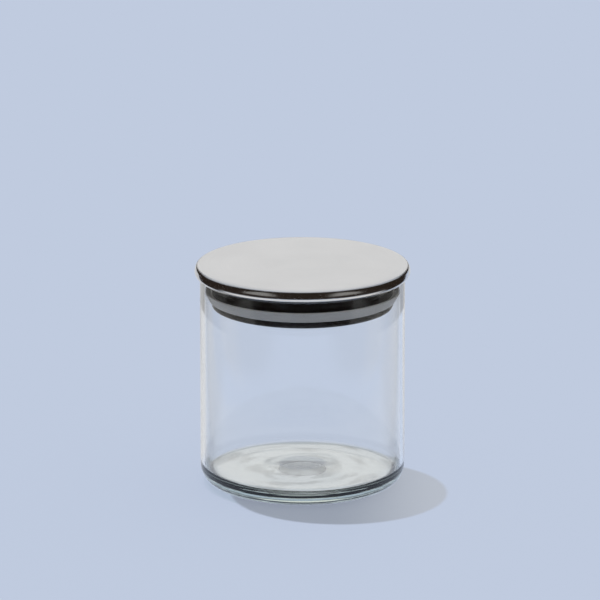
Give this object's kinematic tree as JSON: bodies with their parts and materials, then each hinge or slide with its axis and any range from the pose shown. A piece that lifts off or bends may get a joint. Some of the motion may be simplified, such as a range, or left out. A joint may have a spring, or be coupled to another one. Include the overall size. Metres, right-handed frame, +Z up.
{
  "type": "lidded glass canister",
  "caption": "Straight-sided clear glass storage jar with rounded base corners, closed by a push-in lid: brushed steel cap on a black plastic plug with a silicone seal.",
  "frame": {"origin": "centre of the jar's foot, on the plane that it stands on", "axes": "+Z up along the axis of the jar and lid, +X to the right and -Y towards a viewer in front; the canister is round, so X and Y are interchangeable"},
  "size_m": [0.1052, 0.1052, 0.11],
  "materials": {
    "glass": "clear soda-lime glass, fire-polished, faint grey-green where thick",
    "steel": "satin brushed top, polished side and rolled hem",
    "pad_foam": "matt adhesive foam",
    "black_plastic": "glossy moulded black",
    "silicone": "translucent satin silicone"
  },
  "bodies": {
    "jar": {"glass_jar": "glass"},
    "lid": {"lid_cap": "steel", "bonding_pad": "pad_foam", "plug_body": "black_plastic", "seal_ring": "silicone"}
  },
  "joints": [
    {"name": "lid_lift", "type": "slide", "parent": "jar", "child": "lid", "axis": [0, 0, 1], "range_m": [0, 0.06]}
  ]
}
